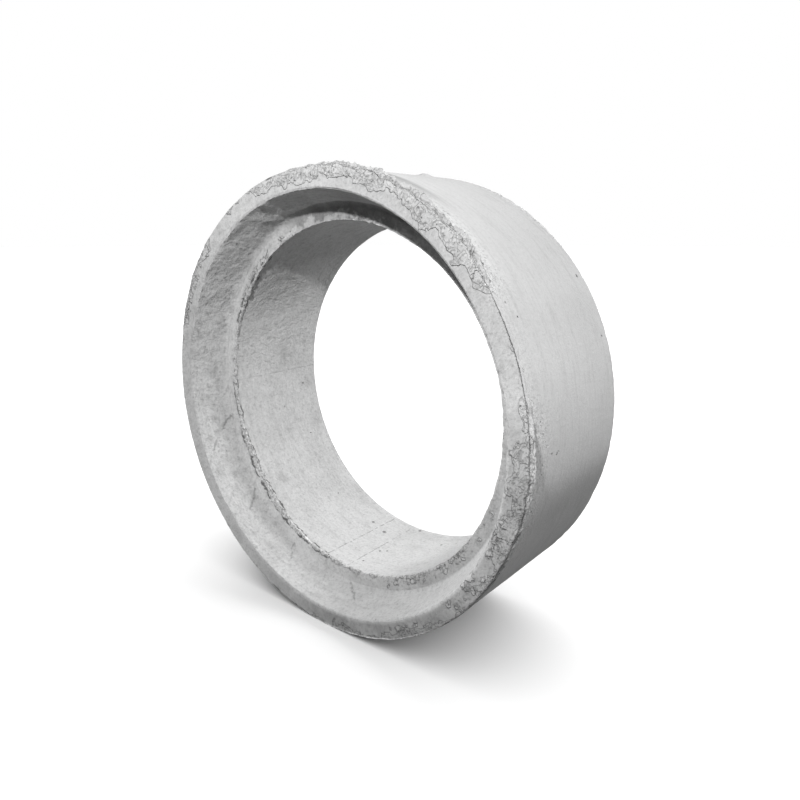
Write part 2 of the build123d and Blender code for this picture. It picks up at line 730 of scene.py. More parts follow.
    def raise_nose_flash(self) -> None:
        """Pulls the ragged flash out of the edge between seat and bore, into the bore."""
        bore = self.sizes.bore_radius
        into = self.depths - self.sizes.socket_depth
        near = (np.abs(into) < self.nose_reach) & (self.radii < bore + 0.020)
        on_seat = near & (np.abs(into) < MM)
        on_bore = near & (into > 0) & (self.radii < bore + NEAR)
        full = self.nose_flash.at(self.angles)
        ragged = 1 + 0.6 * self.rough_at(0.016, 11, near, 4) + 0.4 * self.rough_at(0.007, 12, near, 2)
        height = full * np.clip(ragged, 0.1, 1.6)
        foot = self.nose_foot + 0.003 * self.rough_at(0.02, 13, near)
        fall = 1 - ramp(0.75, 1.15, into / np.maximum(foot, 0.004))
        reach = 1 - ramp(bore, bore + 0.008, self.radii)
        crust = self.rough_at(0.009, 14, near, 3)
        broken = np.clip(0.90 + 0.5 * self.rough_at(0.024, 16, near, 2), 0.70, 1)
        crease = self.nose_crease_shade.at(self.angles) * broken
        waver = 0.0045 * self.rough_at(0.013, 15, near, 3) + 0.0035 * self.rough_at(0.04, 17, near, 1)
        away = self.radii - bore - 0.004 - 0.004 * np.clip(full / 0.008, 0, 1) - waver
        band = near * (1 - ramp(bore + 0.002, bore + 0.016, self.radii)) * (into < MM)
        self.outward -= np.where(near, height * fall * reach, 0)
        self.inward += band * 0.0030 * crust + lobe(away, 0, 0.0025, 2) * crease * on_seat * 0.0030
        # Painted shade as dark lines: in the crevice on the seat, and the shadow that the flash casts on
        # the bore behind it.
        self.near_line(on_seat, away, crease)
        self.near_line(on_bore, into - foot - 0.001 - 0.75 * height, crease)
        flash = near * fall * reach * np.clip(full / 0.004, 0, 1)
        self.mark_more(Mark.FLASH, np.maximum(flash, 0.6 * band * crease))
        high = 0.010 * lobe(self.angles, 132, 19)
        chips = near & (self.radii < bore + 0.007 + waver + high) & (into < foot)
        self.nose_band = np.where(chips, -0.020 + 0.030 * crease, -BAND_REACH)

    def lay_mortar(self) -> None:
        """Notes how far inside the stiff mortar's edge each vertex is, and lays its flakes."""
        past_mouth = self.radii > self.sizes.mouth_radius
        face = (self.depths < FACE_DEPTH) & past_mouth
        behind_rim = 2.5 * np.clip(self.depths - 0.001, 0, 1)
        inside = self.radii - self.mortar_edge.at(self.angles) - behind_rim
        band = np.where(past_mouth & (self.depths < 0.012), inside, -BAND_REACH)
        band = np.maximum(band, self.nose_band)
        self.marks[Mark.BAND] = np.clip(0.5 + band / BAND_REACH / 2, 0, 1)
        lies = ramp(-0.004, 0.006, band)
        flakes = self.rough_at(0.012, 22, face, 3)
        self.inward += face * ((1 - lies) * 0.0016 + lies * 0.0008 * (0.5 + flakes))

    def darken_faces(self) -> None:
        """Notes where the end face is darker towards the bottom, and paints the shadow that the socket's
        mouth casts on the seat at the top.
        """
        s = self.sizes
        face = ramp(0.458, 0.470, self.radii) * (self.depths < FACE_DEPTH)
        ledge = (np.abs(self.depths - s.socket_depth) < 0.013) & (self.radii > s.bore_radius + MM)
        ragged = self.radii - 0.018 * self.rough_at(0.016, 23, ledge, 3)
        # Painted shadow that the socket's mouth casts on the seat at the top.
        seat_shadow = ledge * ramp(0.409, 0.413, ragged) * lobe(self.angles, 88, 27, 6)
        self.marks[Mark.SHADOW_AND_DARKENING] = np.maximum(self.grime.at(self.angles) * face, 0.95 * seat_shadow)

    def blow_bubbles(self) -> None:
        """Notes where blobs of slurry dried with a dark outline."""
        s = self.sizes
        face = (self.depths < FACE_DEPTH) & (self.radii > s.mouth_radius)
        seat = (np.abs(self.depths - s.socket_depth) < 0.003) & (self.radii < s.bore_radius + 0.030)
        inner_seat = ramp(s.bore_radius + 0.028, s.bore_radius + 0.016, self.radii)
        drops = lobe(self.angles, -61, 7) * lobe(self.radii, 0.480, 0.009)
        low_right = lobe(self.angles, -26, 20)
        left = 0.8 * lobe(self.angles, 151, 14) * ramp(0.472, 0.480, self.radii)
        on_face = np.maximum(np.maximum(drops, low_right), left)
        self.marks[Mark.BUBBLE] = face * on_face + seat * lobe(self.angles, -50, 32) * inner_seat

    def roughen_walls(self) -> None:
        """Gives the walls the slow unevenness of a casting, and chips the socket's mouth."""
        outer, socket = self.on[Zone.OUTER_WALL], self.on[Zone.SOCKET_WALL]
        seat, bore = self.on[Zone.SEAT], self.on[Zone.BORE]
        slow = self.rough_at(0.16, 31, np.ones(len(self.radii), bool), 2)
        self.outward += np.where(outer, -0.0005 + 0.0004 * slow, self.unevenness * slow)
        lumps = self.lump_height * self.rough_at(0.045, 32, socket, 4)
        self.outward += socket * (0.25 + 0.75 * self.left) * lumps
        self.inward += seat * 0.0010 * self.rough_at(0.02, 33, seat, 3)
        front_half = ramp(0.10, 0.135, self.depths) * (1 - ramp(0.22, 0.30, self.depths))
        high_left = lobe(self.angles, 140, 12, 2) * front_half
        lower_left = 0.30 * lobe(self.angles, 168, 16, 2) * ramp(0.09, 0.12, self.depths)
        ripple = bore * np.maximum(high_left, lower_left)
        self.marks[Mark.RIPPLE] = ripple
        self.outward += bore * (0.0005 + 0.0012 * ripple) * self.rough_at(0.035, 34, bore, 3)
        mouth = (np.abs(self.radii - self.sizes.mouth_radius) < 0.010) & (self.depths < 0.012)
        chips = np.clip(self.rough_at(0.012, 35, mouth, 3) - 0.08, 0, 1)
        self.outward += self.mouth_chips * chips * lobe(self.angles, -12, 30)

    def coarsen_faces(self) -> None:
        """Notes how coarse the skin of each face is, most on the left side."""
        socket, bore = self.on[Zone.SOCKET_WALL], self.on[Zone.BORE]
        face, seat = self.on[Zone.END_FACE], self.on[Zone.SEAT]
        low_right = face * lobe(self.angles, -25, 26)
        coarse = socket * (0.45 + 0.55 * self.left) + bore * (0.30 + 0.25 * self.left)
        coarse = coarse + face * (0.55 + 0.25 * self.left) + 0.4 * low_right + 0.7 * seat
        corner = ~np.any(list(self.on.values()), axis=0) & (self.depths < self.sizes.half_height)
        self.marks[Mark.COARSE] = coarse + 0.7 * corner

    def chip_back_rim(self) -> None:
        """Chips the plain end's outer rim, mostly at the top right."""
        s = self.sizes
        back = 2 * s.half_height - self.depths
        near = (back < 0.045) & (self.radii > s.outer_radius - 0.012)
        spread = 0.25 + 0.75 * lobe(self.angles, self.chipped_angle, 14, 2)
        chips = np.clip(self.rough_at(0.018, 41, near, 4) - 0.12, 0, 1)
        rim = 1 - ramp(0.004, 0.030, back)
        self.outward -= near * spread * chips * (0.0014 + 0.005 * rim)
        band = near * lobe(self.angles, self.chipped_angle, 12, 2) * (1 - ramp(0.02, 0.04, back))
        self.mark_more(Mark.FLASH, 0.8 * band)
        # Painted shade as a dark line just behind the plain end's rounding.
        rounded = self.on[Zone.OUTER_WALL] & (back < 0.030)
        self.near_line(rounded, back - s.back_rounding - 0.003, 0.66)

    def leave_burr(self) -> None:
        """Leaves one burr on top of the outer wall."""
        angle, depth, height = self.burr
        burr = lobe(self.angles, angle, 1.1, 2) * lobe(self.depths, depth, 0.014)
        burr = self.on[Zone.OUTER_WALL] * burr
        self.outward += height * burr * (1 + self.rough_at(0.010, 42, burr > 0.01, 3))

    def paint_light_on_zones(self) -> None:
        """Notes the light and shade painted on each face round the ring, paler where it is lit and darker
        where it lies in shade, and a paler rim at the bottom.
        """
        s = self.sizes
        tone = np.ones(len(self.radii))
        for zone, curve in self.painted_light_and_tone_by_zone:
            where = self.on[zone]
            if zone is Zone.SOCKET_WALL:
                rounded_too = (self.depths > 0.002) & (self.depths < s.socket_depth)
                where = rounded_too & (self.radii < s.mouth_radius + 0.003)
            tone = np.where(where, curve.at(self.angles), tone)
        # Paler at the bottom of the rim. The flash at the left of the nose is painted lighter, as where
        # light falls on it.
        rim = (self.radii > s.outer_radius - 0.0035) & (self.depths < 0.006)
        low_rim = rim * lobe(self.angles, -73, 20)
        nose = (self.radii < s.bore_radius + 0.008) & (self.depths > s.socket_depth / 2)
        left_nose = nose * lobe(self.angles, -135, 32) * self.marks[Mark.FLASH]
        self.marks[Mark.SHADOW_AND_DARKENING] = self.marks[Mark.SHADOW_AND_DARKENING] * (1 - 0.85 * low_rim)
        self.marks[Mark.PAINTED_LIGHT_AND_TONE] = tone * (1 + 0.40 * low_rim + 0.20 * left_nose) / 2

    def put_places(self) -> None:
        """Moves the vertices by what the relief asks for, and keeps the marks for the finish."""
        s = self.sizes
        turn = np.radians(self.angles)
        radii = self.radii + self.outward
        moved = np.stack(
            [
                radii * np.cos(turn),
                self.places[:, 1] + np.where(self.depths < s.half_height, self.inward, -self.inward),
                s.axis_height + radii * np.sin(turn),
            ],
            axis=1,
        )
        moved[:, 2] = np.maximum(moved[:, 2], 0)
        mesh = self.piece.data
        mesh.vertices.foreach_set("co", moved.ravel())
        for mark, values in self.marks.items():
            layer = mesh.attributes.new(mark.value, "FLOAT", "POINT")
            layer.data.foreach_set("value", np.clip(values, 0, 1).astype(np.float32))
        mesh.update()

    def roll_grain(self) -> None:
        """Rolls a fine grain over the whole surface, and keeps it above the floor."""
        grain = bpy.data.textures.new("cast_grain", "CLOUDS")
        grain.noise_scale = self.grain_size
        grain.noise_depth = 2
        pick_object(self.piece)
        bpy.ops.object.modifier_add(type="DISPLACE")
        roll = self.piece.modifiers[-1]
        roll.texture = grain
        roll.texture_coords = "LOCAL"
        roll.mid_level = 0.5
        roll.strength = self.grain_height
        bpy.ops.object.modifier_apply(modifier=roll.name)
        for vertex in self.piece.data.vertices:
            vertex.co.z = max(vertex.co.z, 0.0)


class NodeSketch:
    """Draws shader nodes into one tree with short words."""

    def __init__(self, tree: bpy.types.NodeTree) -> None:
        """Starts drawing into a tree."""
        self.tree = tree

    def node(self, kind: str, **settings: object) -> bpy.types.Node:
        """Adds a node.

        Args:
            kind: the node's type, without the leading "ShaderNode".
            settings: properties of the node.

        Returns:
            The node.
        """
        made = self.tree.nodes.new(f"ShaderNode{kind}")
        for name, value in settings.items():
            setattr(made, name, value)
        return made

    def feed(self, socket: bpy.types.NodeSocket, value: object) -> None:
        """Links a socket to another, or sets its value."""
        if isinstance(value, bpy.types.NodeSocket):
            self.tree.links.new(value, socket)
        else:
            socket.default_value = value

    def math(self, operation: str, *values: object, clamp: bool = False) -> bpy.types.NodeSocket:
        """A Math node's result."""
        made = self.node("Math", operation=operation, use_clamp=clamp)
        for socket, value in zip(made.inputs, values):
            self.feed(socket, value)
        return made.outputs[0]

    def times(self, first: object, second: object) -> bpy.types.NodeSocket:
        """One value multiplied by another."""
        return self.math("MULTIPLY", first, second)

    def vector(self, operation: str, *values: object) -> bpy.types.Node:
        """A Vector Math node."""
        made = self.node("VectorMath", operation=operation)
        for socket, value in zip(made.inputs, values):
            self.feed(socket, value)
        return made

    def step(
        self, value: object, low: float, high: float, first: float = 0.0, last: float = 1.0
    ) -> bpy.types.NodeSocket:
        """A smooth step of a value between low and high, from first to last."""
        made = self.node("MapRange", interpolation_type="SMOOTHSTEP")
        for name, given in zip(
            ("Value", "From Min", "From Max", "To Min", "To Max"), (value, low, high, first, last)
        ):
            self.feed(made.inputs[name], given)
        return made.outputs["Result"]

    def noise(
        self,
        vector: object,
        size: object,
        detail: float = 3.0,
        roughness: float = 0.55,
        distortion: float = 0.0,
    ) -> bpy.types.NodeSocket:
        """Noise from 0 to 1.

        Args:
            vector: the places.
            size: size of its lumps in metres.
            detail: how many finer layers it has.
            roughness: how strong they are.
            distortion: how far its lumps are pulled about.

        Returns:
            The noise's value.
        """
        made = self.node("TexNoise")
        scale = 1 / size if isinstance(size, (int, float)) else self.math("DIVIDE", 1.0, size)
        for name, value in (
            ("Vector", vector),
            ("Scale", scale),
            ("Detail", detail),
            ("Roughness", roughness),
            ("Distortion", distortion),
        ):
            self.feed(made.inputs[name], value)
        return made.outputs["Fac"]

    def group(self, group: bpy.types.NodeTree, **values: object) -> bpy.types.Node:
        """Places a node group with its own values."""
        made = self.node("Group")
        made.node_tree = group
        for name, value in values.items():
            self.feed(made.inputs[name.replace("_", " ")], value)
        return made

    def shade(self, colour: object, mask: object, factor: object) -> bpy.types.NodeSocket:
        """Multiplies a colour by a factor, a number or a socket, where a mask is 1."""
        made = self.node("Mix", data_type="RGBA", blend_type="MULTIPLY")
        self.feed(made.inputs[0], mask)
        self.feed(made.inputs[6], colour)
        self.feed(made.inputs[7], (factor, factor, factor, 1.0) if isinstance(factor, float) else factor)
        return made.outputs[2]


MarkSockets = dict[Mark, bpy.types.NodeSocket]


def blank_sketch(owner: bpy.types.Material | bpy.types.World) -> NodeSketch:
    """Empties the nodes of a material or a world, to be drawn afresh."""
    owner.use_nodes = True
    owner.node_tree.nodes.clear()
    return NodeSketch(owner.node_tree)


def new_group(
    name: str, inputs: Sequence[tuple[str, str, object]], outputs: Sequence[str]
) -> tuple[
    bpy.types.NodeTree, NodeSketch, Mapping[str, bpy.types.NodeSocket], Mapping[str, bpy.types.NodeSocket]
]:
    """Starts a shader node group.

    Args:
        name: its name.
        inputs: name, kind ("Float" or "Vector") and usual value of each input.
        outputs: names of its outputs, all of them values.

    Returns:
        The group, a sketch into it, what it is given, and what it puts out.
    """
    tree = bpy.data.node_groups.new(name, "ShaderNodeTree")
    for label, kind, usual in inputs:
        socket = tree.interface.new_socket(name=label, in_out="INPUT", socket_type=f"NodeSocket{kind}")
        if usual is not None:
            socket.default_value = usual
    for label in outputs:
        tree.interface.new_socket(name=label, in_out="OUTPUT", socket_type="NodeSocketFloat")
    given = tree.nodes.new("NodeGroupInput").outputs
    return tree, NodeSketch(tree), given, tree.nodes.new("NodeGroupOutput").inputs


class ConcreteEffects:
    """The effects that cast concrete is made of, each a node group built once."""

    def __init__(self) -> None:
        """Builds every group."""
        self.crust = self.build_crust()
        self.bubbles = self.build_bubbles()
        self.holes = self.build_holes()
        self.line = self.build_line()
        self.spot = self.build_spot()

    def ridge(self, s: NodeSketch, value: object, width: object) -> bpy.types.NodeSocket:
        """A mask that is 1 where a value is 0 and falls to 0 at a width on both sides."""
        return s.math("SUBTRACT", 1.0, s.math("DIVIDE", s.math("ABSOLUTE", value), width), clamp=True)

    def cells(
        self, s: NodeSketch, place: object, spacing: object
    ) -> tuple[bpy.types.NodeSocket, Sequence[bpy.types.NodeSocket]]:
        """Scattered cells.

        Args:
            s: the sketch.
            place: the surface's place.
            spacing: how far apart the cells are.

        Returns:
            The distance from a cell's middle, in spacings, and chances that differ from cell to cell.
        """
        cells = s.node("TexVoronoi", feature="F1", voronoi_dimensions="3D")
        s.feed(cells.inputs["Vector"], place)
        s.feed(cells.inputs["Scale"], s.math("DIVIDE", 1.0, spacing))
        chance = s.node("SeparateColor")
        s.feed(chance.inputs[0], cells.outputs["Color"])
        return cells.outputs["Distance"], chance.outputs

    def stray(
        self, s: NodeSketch, place: bpy.types.NodeSocket, waves: float, reach: object
    ) -> bpy.types.NodeSocket:
        """Places moved to and fro, so that what is drawn on them wavers.

        Args:
            s: the sketch.
            place: the surface's place.
            waves: how many waves there are in a metre.
            reach: how far the places move.

        Returns:
            The moved places.
        """
        wave = s.node("TexNoise")
        s.feed(wave.inputs["Vector"], place)
        s.feed(wave.inputs["Scale"], waves)
        centred = s.vector("SUBTRACT", wave.outputs["Color"], (0.5, 0.5, 0.5)).outputs[0]
        return s.vector("ADD", place, self.scaled(s, centred, reach)).outputs[0]

    def scaled(self, s: NodeSketch, vector: object, factor: object) -> bpy.types.NodeSocket:
        """A vector made longer or shorter by a factor."""
        scale = s.node("VectorMath", operation="SCALE")
        s.feed(scale.inputs[0], vector)
        s.feed(scale.inputs["Scale"], factor)
        return scale.outputs[0]

    def build_bubbles(self) -> bpy.types.NodeTree:
        """Dried blobs of slurry, each with a thin dark outline.

        Returns:
            A group with Blob and Ring from 0 to 1.
        """
        tree, s, given, out = new_group(
            "slurry_bubbles",
            (("Vector", "Vector", None), ("Spacing", "Float", 0.02), ("Mask", "Float", 1.0)),
            ("Blob", "Ring"),
        )
        moved = self.stray(s, given["Vector"], 90.0, 0.024)
        distance, chance = self.cells(s, moved, given["Spacing"])
        radius = s.times(given["Mask"], s.math("MULTIPLY_ADD", chance[0], 0.25, 0.27))
        away = s.math("SUBTRACT", distance, radius)
        kept = s.step(given["Mask"], 0.3, 0.6)
        s.feed(out["Blob"], s.times(s.step(away, 0.02, -0.14), kept))
        s.feed(out["Ring"], s.times(self.ridge(s, away, 0.10), kept))
        return tree

    def build_crust(self) -> bpy.types.NodeTree:
        """Flaky crusts of stiff mortar inside a ragged edge, with painted shade as dark lines along the
        edge and round the flakes.

        Returns:
            A group with Inside, Height and Line, each from 0 to 1.
        """
        tree, s, given, out = new_group(
            "mortar_crust",
            (
                ("Vector", "Vector", None), ("Edge", "Float", 0.0), ("Size", "Float", 0.03),
                ("Width", "Float", 0.0012),
            ),
            ("Inside", "Height", "Line"),
        )
        terraces = 6.0
        place, width = given["Vector"], given["Width"]
        large = s.math("SUBTRACT", s.noise(place, given["Size"], 2.0, 0.5, 0.4), 0.5)
        small = s.math("SUBTRACT", s.noise(place, 0.008, 2.0), 0.5)
        edge = s.math("MULTIPLY_ADD", large, 0.070, given["Edge"])
        edge = s.math("MULTIPLY_ADD", small, 0.007, edge)
        inside = s.step(edge, -0.0006, 0.0006)
        behind = s.math("MULTIPLY_ADD", s.noise(place, 0.013, 1.0), 0.020, 0.002)
        second = self.ridge(s, s.math("SUBTRACT", edge, behind), width)
        lumps = s.times(s.noise(place, 0.026, 2.0, 0.5, 1.2), terraces)
        part = s.math("FRACT", lumps)
        contour = self.ridge(s, s.math("SUBTRACT", part, 0.5), 0.24)
        seen = s.step(s.noise(place, 0.024, 1.0), 0.36, 0.48)
        flakes = s.times(s.math("MAXIMUM", second, s.times(contour, seen)), inside)
        terrace = s.math("ADD", s.math("FLOOR", lumps), s.step(part, 0.40, 0.60))
        terrace = s.math("DIVIDE", terrace, terraces)
        s.feed(out["Inside"], inside)
        s.feed(out["Height"], s.times(inside, terrace))
        # Line is painted shade along the mortar's edge and the flakes' steps.
        s.feed(out["Line"], s.math("MAXIMUM", self.ridge(s, edge, width), s.times(flakes, 0.85)))
        return tree

    def build_holes(self) -> bpy.types.NodeTree:
        """Bug holes that trapped air leaves, of uneven size and far apart.

        Returns:
            A group with Hole from 0 to 1.
        """
        tree, s, given, out = new_group(
            "bug_holes",
            (
                ("Vector", "Vector", None), ("Spacing", "Float", 0.03), ("Share", "Float", 0.3),
                ("Radius", "Float", 0.15),
            ),
            ("Hole",),
        )
        distance, chance = self.cells(s, given["Vector"], given["Spacing"])
        kept = s.math("LESS_THAN", chance[0], given["Share"])
        radius = s.times(given["Radius"], s.math("ADD", chance[1], 0.4))
        inside = s.math("SUBTRACT", 1.0, s.math("DIVIDE", distance, radius), clamp=True)
        s.feed(out["Hole"], s.times(s.step(inside, 0.0, 0.5), kept))
        return tree

    def build_line(self) -> bpy.types.NodeTree:
        """A thin wavering line between two places, such as a hair crack or a mould seam.

        Returns:
            A group with Line from 0 to 1.
        """
        tree, s, given, out = new_group(
            "thin_line",
            (
                ("Vector", "Vector", None), ("Start", "Vector", None), ("End", "Vector", None),
                ("Width", "Float", 0.002), ("Waver", "Float", 0.004), ("Gaps", "Float", 0.4),
            ),
            ("Line",),
        )
        moved = self.stray(s, given["Vector"], 55.0, given["Waver"])
        run = s.vector("SUBTRACT", given["End"], given["Start"]).outputs[0]
        away = s.vector("SUBTRACT", moved, given["Start"]).outputs[0]
        reached = s.vector("DOT_PRODUCT", away, run).outputs["Value"]
        whole = s.vector("DOT_PRODUCT", run, run).outputs["Value"]
        share = s.math("DIVIDE", reached, whole, clamp=True)
        gap = s.vector("SUBTRACT", away, self.scaled(s, run, share)).outputs[0]
        distance = s.vector("LENGTH", gap).outputs["Value"]
        line = s.math("SUBTRACT", 1.0, s.math("DIVIDE", distance, given["Width"]), clamp=True)
        breaks = s.noise(given["Vector"], 0.012, 1.0)
        seen = s.step(s.math("SUBTRACT", breaks, given["Gaps"]), -0.06, 0.06)
        s.feed(out["Line"], s.times(line, seen))
        return tree

    def build_spot(self) -> bpy.types.NodeTree:
        """A round spot at one place, such as a bug hole or a stain.

        Returns:
            A group with Spot from 0 to 1.
        """
        tree, s, given, out = new_group(
            "round_spot",
            (("Vector", "Vector", None), ("Centre", "Vector", None), ("Radius", "Float", 0.004)),
            ("Spot",),
        )
        distance = s.vector("DISTANCE", given["Vector"], given["Centre"]).outputs["Value"]
        share = s.math("DIVIDE", distance, given["Radius"])
        s.feed(out["Spot"], s.step(share, 0.25, 1.0, 1.0, 0.0))
        return tree


@dataclass(frozen=True)
class SurfacePatterns:
    """The patterns that the concrete's colour and relief share, as sockets with values from 0 to 1.

    Args:
        clouds: slow noise.
        patches: noise of some centimetres.
        mottle: noise of about a centimetre.
        grain: noise of some millimetres.
        fine: the finest noise.
        streaks: streaks round the ring.
        shingle: overlapping ripples.
        crust: the stiff mortar, with Inside, Height and Line, where Line is painted shade along its
            edges.
        crease: painted shade in creases, as dark lines.
        bubbles: dried blobs, with Blob and Ring.
        skin: how much of the grain shows.
        rough_skin: where flash and mortar are.
        pitted: small pits in flash and mortar.
        holes: scattered bug holes.
        spots: larger bug holes, each at its place.
        cracks: hair cracks.
        seams: the mould's seams.
        stain: the stain in the bore.
    """

    clouds: bpy.types.NodeSocket
    patches: bpy.types.NodeSocket
    mottle: bpy.types.NodeSocket
    grain: bpy.types.NodeSocket
    fine: bpy.types.NodeSocket
    streaks: bpy.types.NodeSocket
    shingle: bpy.types.NodeSocket
    crust: Mapping[str, bpy.types.NodeSocket]
    crease: bpy.types.NodeSocket
    bubbles: Mapping[str, bpy.types.NodeSocket]
    skin: bpy.types.NodeSocket
    rough_skin: bpy.types.NodeSocket
    pitted: bpy.types.NodeSocket
    holes: bpy.types.NodeSocket
    spots: bpy.types.NodeSocket
    cracks: bpy.types.NodeSocket
    seams: bpy.types.NodeSocket
    stain: bpy.types.NodeSocket


@dataclass(frozen=True)
class ThinLines:
    """Thin lines of one kind, such as hair cracks.

    Args:
        runs: each line's two ends, as angle and depth and again angle and depth.
        width: half width of a line.
        waver: how far a line strays.
        gaps: how much of it is broken.
    """

    runs: tuple[tuple[float, float, float, float], ...]
    width: float
    waver: float
    gaps: float


@dataclass(frozen=True)
class ConcreteFinish:
    """Light grey cast concrete, darker towards the bottom of its end face, with flakes, holes and hair
    cracks, and with light and shade painted into its colour.

    Args:
        sizes: the ring's sizes, for the places of cracks and holes.
        colour: the clean concrete.
        roughness: how dull it is.
        gloss: how much it still mirrors.
        stain: angle, depth and radius of the stain in the bore.
        cracks: hair cracks on the socket's wall.
        seams: the mould's seams along the bore's floor.
        holes: bug holes on the inside, as angle, depth and radius.
        outer_holes: bug holes on the outer wall, given in the same way.
    """

    sizes: RingSizes
    colour: tuple[float, float, float] = (0.640, 0.641, 0.641)
    roughness: float = 0.92
    gloss: float = 0.22
    stain: tuple[float, float, float] = (-139.2, 0.154, 0.026)
    cracks: ThinLines = ThinLines(
        (
            (-167.5, 0.087, -157.5, 0.023),
            (-139.8, 0.084, -134.7, 0.052),
            (-116.7, 0.087, -111.6, 0.051),
            (-89.3, 0.087, -83.2, 0.049),
            (119.0, 0.023, 113.4, 0.088),
        ),
        width=0.0042,
        waver=0.020,
        gaps=0.32,
    )
    seams: ThinLines = ThinLines(
        ((-102.4, 0.092, -102.7, 0.363), (-92.6, 0.092, -93.4, 0.346)),
        width=0.0020,
        waver=0.004,
        gaps=0.44,
    )
    holes: tuple[tuple[float, float, float], ...] = (
        (-106.1, 0.298, 0.0055), (-99.0, 0.287, 0.0075), (-89.9, 0.360, 0.006),
        (-90.9, 0.205, 0.004), (-88.9, 0.216, 0.004), (-73.8, 0.303, 0.005),
        (-90.5, 0.140, 0.004), (113.8, 0.212, 0.004), (-173.5, 0.324, 0.004),
        (-152.9, 0.310, 0.0035), (-125.0, 0.287, 0.003), (129.3, 0.034, 0.004),
        (150.6, 0.035, 0.003),
    )
    outer_holes: tuple[tuple[float, float, float], ...] = (
        (35.3, 0.346, 0.0045), (-0.6, 0.090, 0.003), (20.1, 0.348, 0.003), (28.2, 0.053, 0.0025),
    )

    def material(self, effects: ConcreteEffects) -> bpy.types.Material:
        """Builds the material.

        Args:
            effects: the node groups that it places.

        Returns:
            The concrete.
        """
        material = bpy.data.materials.new("cast_concrete")
        s = blank_sketch(material)
        mark = {each: self.mark(s, each) for each in Mark}
        patterns = self.draw_patterns(s, effects, mark)
        bump = s.node("Bump")
        s.feed(bump.inputs["Height"], self.relief(s, patterns, mark))
        s.feed(bump.inputs["Distance"], 1.0)
        duller = s.step(patterns.grain, 0.3, 0.8, self.roughness, self.roughness - 0.12)
        shader = s.node("BsdfPrincipled")
        s.feed(shader.inputs["Base Color"], self.tint(s, patterns, mark))
        s.feed(shader.inputs["Roughness"], duller)
        s.feed(shader.inputs["Diffuse Roughness"], 1.0)
        s.feed(shader.inputs["Specular IOR Level"], self.gloss)
        s.feed(shader.inputs["Normal"], bump.outputs[0])
        s.feed(s.node("OutputMaterial").inputs["Surface"], shader.outputs[0])
        return material

    def draw_patterns(
        self, s: NodeSketch, effects: ConcreteEffects, mark: MarkSockets
    ) -> SurfacePatterns:
        """Draws the patterns on the surface.

        Args:
            s: the sketch.
            effects: the node groups.
            mark: the marks that the relief left.

        Returns:
            The patterns.
        """
        place = s.node("TexCoord").outputs["Object"]
        grain = s.noise(place, 0.0060, 3.0, 0.7)
        edge = s.times(s.math("SUBTRACT", mark[Mark.BAND], 0.5), 2 * BAND_REACH)
        crust = s.group(effects.crust, Vector=place, Edge=edge, Size=0.034, Width=0.0016).outputs
        uneven = s.math("SUBTRACT", grain, 0.5)
        gap = s.math("MULTIPLY_ADD", uneven, 0.004, s.times(mark[Mark.CREASE], CREASE_REACH))
        bubbles = s.group(effects.bubbles, Vector=place, Spacing=0.023, Mask=mark[Mark.BUBBLE])
        holes = s.group(effects.holes, Vector=place, Spacing=0.030, Share=0.12, Radius=0.07)
        pits = s.group(effects.holes, Vector=place, Spacing=0.008, Share=0.45, Radius=0.25)
        angle, depth, radius = self.stain
        stain = s.group(
            effects.spot, Vector=place, Centre=self.sizes.point(angle, depth), Radius=radius
        )
        rough_skin = s.math("MAXIMUM", mark[Mark.FLASH], s.times(crust["Inside"], 0.7))
        return SurfacePatterns(
            clouds=s.noise(place, 0.14, 4.0, 0.6),
            patches=s.noise(place, 0.032, 4.0, 0.6),
            mottle=s.noise(place, 0.013, 4.0, 0.62),
            grain=grain,
            fine=s.noise(place, 0.0024, 2.0),
            streaks=s.noise(self.round_axis(s, place), 0.010, 3.0, 0.6),
            shingle=s.noise(place, 0.015, 3.0, 0.55, 0.9),
            crust=crust,
            crease=s.step(gap, 0.0028, 0.0010),
            bubbles=bubbles.outputs,
            skin=s.step(mark[Mark.COARSE], 0.0, 0.2, 0.45, 1.0),
            rough_skin=rough_skin,
            pitted=s.times(pits.outputs["Hole"], s.step(rough_skin, 0.25, 0.6)),
            holes=holes.outputs["Hole"],
            spots=self.spots(s, effects, place),
            cracks=self.lines(s, effects, place, self.cracks),
            seams=self.lines(s, effects, place, self.seams),
            stain=stain.outputs["Spot"],
        )

